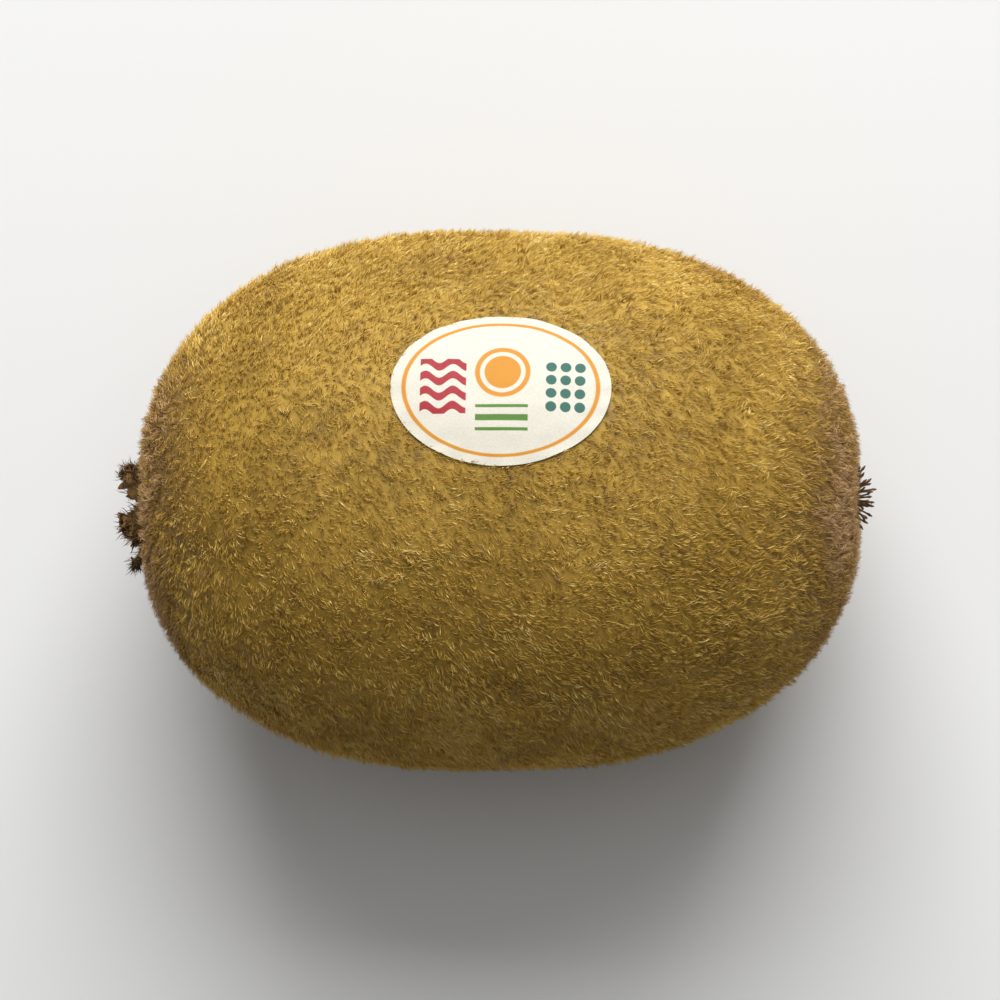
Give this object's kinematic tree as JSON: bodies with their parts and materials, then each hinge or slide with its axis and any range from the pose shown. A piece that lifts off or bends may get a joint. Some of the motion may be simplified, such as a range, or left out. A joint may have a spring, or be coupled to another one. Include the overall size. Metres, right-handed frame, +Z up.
{
  "type": "kiwi fruit",
  "caption": "Whole golden kiwi fruit lying on its side: a hairy, rounded barrel with a dried calyx at one end, dried styles at the other and a plain oval label on the skin.",
  "frame": {"origin": "bottom centre of the whole object's box, on the surface that the fruit lies on", "axes": "+X along the fruit from the stem end to the blossom end, +Z up"},
  "size_m": [0.081, 0.0576, 0.0548],
  "materials": {
    "skin": "golden olive-brown skin under short hair",
    "dry_calyx": "dry, corky, dark brown",
    "dry_styles": "dry, dark brown",
    "label": null
  },
  "bodies": {
    "root": {"fruit": "skin", "calyx": "dry_calyx", "styles": "dry_styles", "label": "label"}
  },
  "joints": []
}
